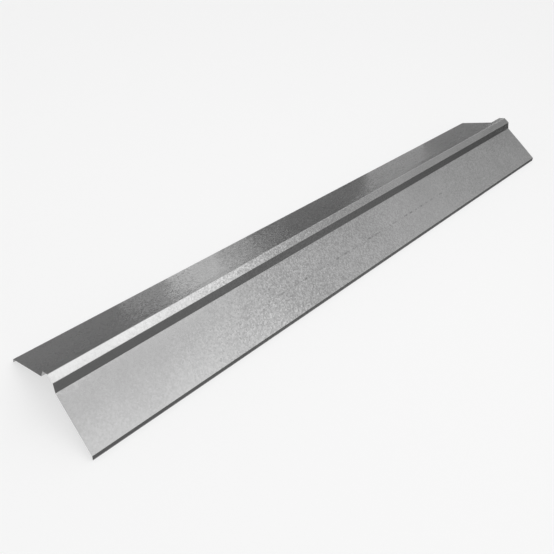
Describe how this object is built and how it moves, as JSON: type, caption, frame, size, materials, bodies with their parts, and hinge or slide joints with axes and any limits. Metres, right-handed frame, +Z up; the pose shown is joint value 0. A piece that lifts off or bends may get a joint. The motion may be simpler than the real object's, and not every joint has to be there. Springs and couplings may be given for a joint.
{
  "type": "roof ridge cap",
  "caption": "Galvanised sheet folded along its length into sloping wings with turned-down lips and a raised, pitched bead between them; covers the gap along a roof's ridge.",
  "frame": {"origin": "midway along the cap, below the ridge line, on the level that both lips stand on", "axes": "+Y along the ridge line, +X across it towards one wing, +Z up"},
  "size_m": [0.3278, 2, 0.1132],
  "materials": {
    "galvanised_sheet": "hot-dip galvanised, dull, with a fine spangle"
  },
  "bodies": {
    "root": {"ridge_cap": "galvanised_sheet"}
  },
  "joints": []
}
